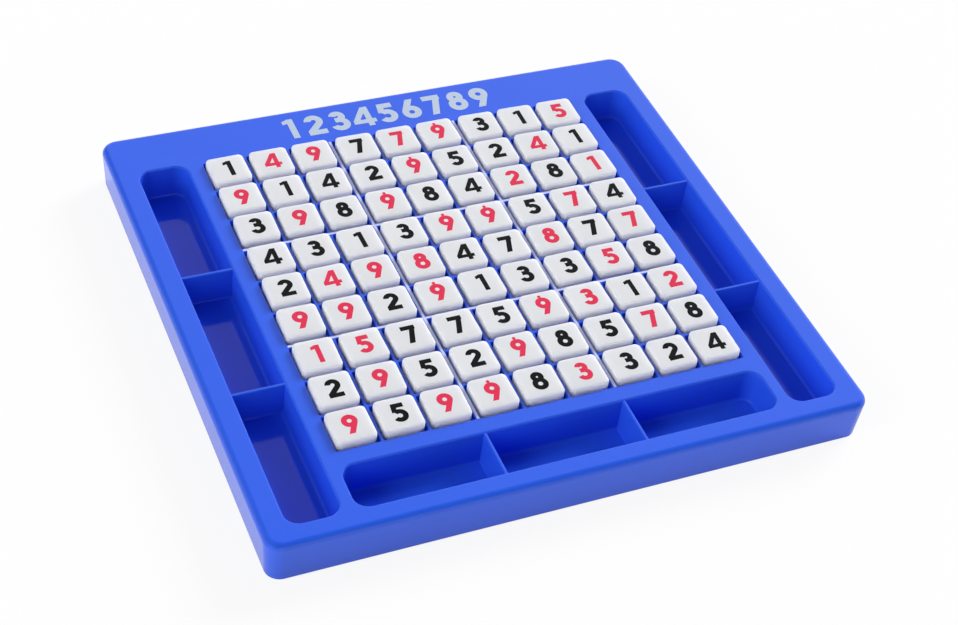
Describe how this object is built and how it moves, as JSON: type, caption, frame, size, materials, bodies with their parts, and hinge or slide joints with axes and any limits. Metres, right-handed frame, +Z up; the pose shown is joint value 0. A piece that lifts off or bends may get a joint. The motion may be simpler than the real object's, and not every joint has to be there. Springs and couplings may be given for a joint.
{
  "type": "sudoku board",
  "caption": "Flat sudoku board: a moulded tray with a square grid of shallow pockets, divided storage troughs along three sides and square number tiles that lift out.",
  "frame": {"origin": "middle of the tray's footprint, on the surface the board stands on", "axes": "+X to the player's right, +Y away from the player towards the plain back strip, +Z up"},
  "size_m": [0.2342, 0.222, 0.0204],
  "materials": {
    "tray_plastic": "glossy moulded blue plastic",
    "tile_plastic": "satin moulded white plastic"
  },
  "bodies": {
    "tray": {"tray": "tray_plastic"},
    "tile_row3_column5": {"tile_row3_column5": "tile_plastic"},
    "tile_row3_column6": {"tile_row3_column6": "tile_plastic"},
    "tile_row3_column7": {"tile_row3_column7": "tile_plastic"},
    "tile_row3_column8": {"tile_row3_column8": "tile_plastic"},
    "tile_row3_column9": {"tile_row3_column9": "tile_plastic"},
    "tile_row4_column1": {"tile_row4_column1": "tile_plastic"},
    "tile_row4_column2": {"tile_row4_column2": "tile_plastic"},
    "tile_row4_column3": {"tile_row4_column3": "tile_plastic"},
    "tile_row4_column4": {"tile_row4_column4": "tile_plastic"},
    "tile_row4_column5": {"tile_row4_column5": "tile_plastic"},
    "tile_row4_column6": {"tile_row4_column6": "tile_plastic"},
    "tile_row4_column7": {"tile_row4_column7": "tile_plastic"},
    "tile_row4_column8": {"tile_row4_column8": "tile_plastic"},
    "tile_row4_column9": {"tile_row4_column9": "tile_plastic"},
    "tile_row5_column1": {"tile_row5_column1": "tile_plastic"},
    "tile_row5_column2": {"tile_row5_column2": "tile_plastic"},
    "tile_row5_column3": {"tile_row5_column3": "tile_plastic"},
    "tile_row5_column4": {"tile_row5_column4": "tile_plastic"},
    "tile_row5_column5": {"tile_row5_column5": "tile_plastic"},
    "tile_row5_column6": {"tile_row5_column6": "tile_plastic"},
    "tile_row5_column7": {"tile_row5_column7": "tile_plastic"},
    "tile_row5_column8": {"tile_row5_column8": "tile_plastic"},
    "tile_row5_column9": {"tile_row5_column9": "tile_plastic"},
    "tile_row6_column1": {"tile_row6_column1": "tile_plastic"},
    "tile_row6_column2": {"tile_row6_column2": "tile_plastic"},
    "tile_row6_column3": {"tile_row6_column3": "tile_plastic"},
    "tile_row6_column4": {"tile_row6_column4": "tile_plastic"},
    "tile_row6_column5": {"tile_row6_column5": "tile_plastic"},
    "tile_row6_column6": {"tile_row6_column6": "tile_plastic"},
    "tile_row6_column7": {"tile_row6_column7": "tile_plastic"},
    "tile_row6_column8": {"tile_row6_column8": "tile_plastic"},
    "tile_row6_column9": {"tile_row6_column9": "tile_plastic"},
    "tile_row7_column1": {"tile_row7_column1": "tile_plastic"},
    "tile_row7_column2": {"tile_row7_column2": "tile_plastic"},
    "tile_row7_column3": {"tile_row7_column3": "tile_plastic"},
    "tile_row7_column4": {"tile_row7_column4": "tile_plastic"},
    "tile_row7_column5": {"tile_row7_column5": "tile_plastic"},
    "tile_row7_column6": {"tile_row7_column6": "tile_plastic"},
    "tile_row7_column7": {"tile_row7_column7": "tile_plastic"},
    "tile_row7_column8": {"tile_row7_column8": "tile_plastic"},
    "tile_row7_column9": {"tile_row7_column9": "tile_plastic"},
    "tile_row8_column1": {"tile_row8_column1": "tile_plastic"},
    "tile_row8_column2": {"tile_row8_column2": "tile_plastic"},
    "tile_row8_column3": {"tile_row8_column3": "tile_plastic"},
    "tile_row8_column4": {"tile_row8_column4": "tile_plastic"},
    "tile_row8_column5": {"tile_row8_column5": "tile_plastic"},
    "tile_row8_column6": {"tile_row8_column6": "tile_plastic"},
    "tile_row8_column7": {"tile_row8_column7": "tile_plastic"},
    "tile_row8_column8": {"tile_row8_column8": "tile_plastic"},
    "tile_row8_column9": {"tile_row8_column9": "tile_plastic"},
    "tile_row9_column1": {"tile_row9_column1": "tile_plastic"},
    "tile_row9_column2": {"tile_row9_column2": "tile_plastic"},
    "tile_row9_column3": {"tile_row9_column3": "tile_plastic"},
    "tile_row9_column4": {"tile_row9_column4": "tile_plastic"},
    "tile_row9_column5": {"tile_row9_column5": "tile_plastic"},
    "tile_row9_column6": {"tile_row9_column6": "tile_plastic"},
    "tile_row9_column7": {"tile_row9_column7": "tile_plastic"},
    "tile_row9_column8": {"tile_row9_column8": "tile_plastic"},
    "tile_row9_column9": {"tile_row9_column9": "tile_plastic"}
  },
  "joints": [
    {"name": "lift_row3_column5", "type": "slide", "parent": "tray", "child": "tile_row3_column5", "axis": [0, 0, 1], "range_m": [0, 0.025]},
    {"name": "lift_row3_column6", "type": "slide", "parent": "tray", "child": "tile_row3_column6", "axis": [0, 0, 1], "range_m": [0, 0.025]},
    {"name": "lift_row3_column7", "type": "slide", "parent": "tray", "child": "tile_row3_column7", "axis": [0, 0, 1], "range_m": [0, 0.025]},
    {"name": "lift_row3_column8", "type": "slide", "parent": "tray", "child": "tile_row3_column8", "axis": [0, 0, 1], "range_m": [0, 0.025]},
    {"name": "lift_row3_column9", "type": "slide", "parent": "tray", "child": "tile_row3_column9", "axis": [0, 0, 1], "range_m": [0, 0.025]},
    {"name": "lift_row4_column1", "type": "slide", "parent": "tray", "child": "tile_row4_column1", "axis": [0, 0, 1], "range_m": [0, 0.025]},
    {"name": "lift_row4_column2", "type": "slide", "parent": "tray", "child": "tile_row4_column2", "axis": [0, 0, 1], "range_m": [0, 0.025]},
    {"name": "lift_row4_column3", "type": "slide", "parent": "tray", "child": "tile_row4_column3", "axis": [0, 0, 1], "range_m": [0, 0.025]},
    {"name": "lift_row4_column4", "type": "slide", "parent": "tray", "child": "tile_row4_column4", "axis": [0, 0, 1], "range_m": [0, 0.025]},
    {"name": "lift_row4_column5", "type": "slide", "parent": "tray", "child": "tile_row4_column5", "axis": [0, 0, 1], "range_m": [0, 0.025]},
    {"name": "lift_row4_column6", "type": "slide", "parent": "tray", "child": "tile_row4_column6", "axis": [0, 0, 1], "range_m": [0, 0.025]},
    {"name": "lift_row4_column7", "type": "slide", "parent": "tray", "child": "tile_row4_column7", "axis": [0, 0, 1], "range_m": [0, 0.025]},
    {"name": "lift_row4_column8", "type": "slide", "parent": "tray", "child": "tile_row4_column8", "axis": [0, 0, 1], "range_m": [0, 0.025]},
    {"name": "lift_row4_column9", "type": "slide", "parent": "tray", "child": "tile_row4_column9", "axis": [0, 0, 1], "range_m": [0, 0.025]},
    {"name": "lift_row5_column1", "type": "slide", "parent": "tray", "child": "tile_row5_column1", "axis": [0, 0, 1], "range_m": [0, 0.025]},
    {"name": "lift_row5_column2", "type": "slide", "parent": "tray", "child": "tile_row5_column2", "axis": [0, 0, 1], "range_m": [0, 0.025]},
    {"name": "lift_row5_column3", "type": "slide", "parent": "tray", "child": "tile_row5_column3", "axis": [0, 0, 1], "range_m": [0, 0.025]},
    {"name": "lift_row5_column4", "type": "slide", "parent": "tray", "child": "tile_row5_column4", "axis": [0, 0, 1], "range_m": [0, 0.025]},
    {"name": "lift_row5_column5", "type": "slide", "parent": "tray", "child": "tile_row5_column5", "axis": [0, 0, 1], "range_m": [0, 0.025]},
    {"name": "lift_row5_column6", "type": "slide", "parent": "tray", "child": "tile_row5_column6", "axis": [0, 0, 1], "range_m": [0, 0.025]},
    {"name": "lift_row5_column7", "type": "slide", "parent": "tray", "child": "tile_row5_column7", "axis": [0, 0, 1], "range_m": [0, 0.025]},
    {"name": "lift_row5_column8", "type": "slide", "parent": "tray", "child": "tile_row5_column8", "axis": [0, 0, 1], "range_m": [0, 0.025]},
    {"name": "lift_row5_column9", "type": "slide", "parent": "tray", "child": "tile_row5_column9", "axis": [0, 0, 1], "range_m": [0, 0.025]},
    {"name": "lift_row6_column1", "type": "slide", "parent": "tray", "child": "tile_row6_column1", "axis": [0, 0, 1], "range_m": [0, 0.025]},
    {"name": "lift_row6_column2", "type": "slide", "parent": "tray", "child": "tile_row6_column2", "axis": [0, 0, 1], "range_m": [0, 0.025]},
    {"name": "lift_row6_column3", "type": "slide", "parent": "tray", "child": "tile_row6_column3", "axis": [0, 0, 1], "range_m": [0, 0.025]},
    {"name": "lift_row6_column4", "type": "slide", "parent": "tray", "child": "tile_row6_column4", "axis": [0, 0, 1], "range_m": [0, 0.025]},
    {"name": "lift_row6_column5", "type": "slide", "parent": "tray", "child": "tile_row6_column5", "axis": [0, 0, 1], "range_m": [0, 0.025]},
    {"name": "lift_row6_column6", "type": "slide", "parent": "tray", "child": "tile_row6_column6", "axis": [0, 0, 1], "range_m": [0, 0.025]},
    {"name": "lift_row6_column7", "type": "slide", "parent": "tray", "child": "tile_row6_column7", "axis": [0, 0, 1], "range_m": [0, 0.025]},
    {"name": "lift_row6_column8", "type": "slide", "parent": "tray", "child": "tile_row6_column8", "axis": [0, 0, 1], "range_m": [0, 0.025]},
    {"name": "lift_row6_column9", "type": "slide", "parent": "tray", "child": "tile_row6_column9", "axis": [0, 0, 1], "range_m": [0, 0.025]},
    {"name": "lift_row7_column1", "type": "slide", "parent": "tray", "child": "tile_row7_column1", "axis": [0, 0, 1], "range_m": [0, 0.025]},
    {"name": "lift_row7_column2", "type": "slide", "parent": "tray", "child": "tile_row7_column2", "axis": [0, 0, 1], "range_m": [0, 0.025]},
    {"name": "lift_row7_column3", "type": "slide", "parent": "tray", "child": "tile_row7_column3", "axis": [0, 0, 1], "range_m": [0, 0.025]},
    {"name": "lift_row7_column4", "type": "slide", "parent": "tray", "child": "tile_row7_column4", "axis": [0, 0, 1], "range_m": [0, 0.025]},
    {"name": "lift_row7_column5", "type": "slide", "parent": "tray", "child": "tile_row7_column5", "axis": [0, 0, 1], "range_m": [0, 0.025]},
    {"name": "lift_row7_column6", "type": "slide", "parent": "tray", "child": "tile_row7_column6", "axis": [0, 0, 1], "range_m": [0, 0.025]},
    {"name": "lift_row7_column7", "type": "slide", "parent": "tray", "child": "tile_row7_column7", "axis": [0, 0, 1], "range_m": [0, 0.025]},
    {"name": "lift_row7_column8", "type": "slide", "parent": "tray", "child": "tile_row7_column8", "axis": [0, 0, 1], "range_m": [0, 0.025]},
    {"name": "lift_row7_column9", "type": "slide", "parent": "tray", "child": "tile_row7_column9", "axis": [0, 0, 1], "range_m": [0, 0.025]},
    {"name": "lift_row8_column1", "type": "slide", "parent": "tray", "child": "tile_row8_column1", "axis": [0, 0, 1], "range_m": [0, 0.025]},
    {"name": "lift_row8_column2", "type": "slide", "parent": "tray", "child": "tile_row8_column2", "axis": [0, 0, 1], "range_m": [0, 0.025]},
    {"name": "lift_row8_column3", "type": "slide", "parent": "tray", "child": "tile_row8_column3", "axis": [0, 0, 1], "range_m": [0, 0.025]},
    {"name": "lift_row8_column4", "type": "slide", "parent": "tray", "child": "tile_row8_column4", "axis": [0, 0, 1], "range_m": [0, 0.025]},
    {"name": "lift_row8_column5", "type": "slide", "parent": "tray", "child": "tile_row8_column5", "axis": [0, 0, 1], "range_m": [0, 0.025]},
    {"name": "lift_row8_column6", "type": "slide", "parent": "tray", "child": "tile_row8_column6", "axis": [0, 0, 1], "range_m": [0, 0.025]},
    {"name": "lift_row8_column7", "type": "slide", "parent": "tray", "child": "tile_row8_column7", "axis": [0, 0, 1], "range_m": [0, 0.025]},
    {"name": "lift_row8_column8", "type": "slide", "parent": "tray", "child": "tile_row8_column8", "axis": [0, 0, 1], "range_m": [0, 0.025]},
    {"name": "lift_row8_column9", "type": "slide", "parent": "tray", "child": "tile_row8_column9", "axis": [0, 0, 1], "range_m": [0, 0.025]},
    {"name": "lift_row9_column1", "type": "slide", "parent": "tray", "child": "tile_row9_column1", "axis": [0, 0, 1], "range_m": [0, 0.025]},
    {"name": "lift_row9_column2", "type": "slide", "parent": "tray", "child": "tile_row9_column2", "axis": [0, 0, 1], "range_m": [0, 0.025]},
    {"name": "lift_row9_column3", "type": "slide", "parent": "tray", "child": "tile_row9_column3", "axis": [0, 0, 1], "range_m": [0, 0.025]},
    {"name": "lift_row9_column4", "type": "slide", "parent": "tray", "child": "tile_row9_column4", "axis": [0, 0, 1], "range_m": [0, 0.025]},
    {"name": "lift_row9_column5", "type": "slide", "parent": "tray", "child": "tile_row9_column5", "axis": [0, 0, 1], "range_m": [0, 0.025]},
    {"name": "lift_row9_column6", "type": "slide", "parent": "tray", "child": "tile_row9_column6", "axis": [0, 0, 1], "range_m": [0, 0.025]},
    {"name": "lift_row9_column7", "type": "slide", "parent": "tray", "child": "tile_row9_column7", "axis": [0, 0, 1], "range_m": [0, 0.025]},
    {"name": "lift_row9_column8", "type": "slide", "parent": "tray", "child": "tile_row9_column8", "axis": [0, 0, 1], "range_m": [0, 0.025]},
    {"name": "lift_row9_column9", "type": "slide", "parent": "tray", "child": "tile_row9_column9", "axis": [0, 0, 1], "range_m": [0, 0.025]}
  ]
}
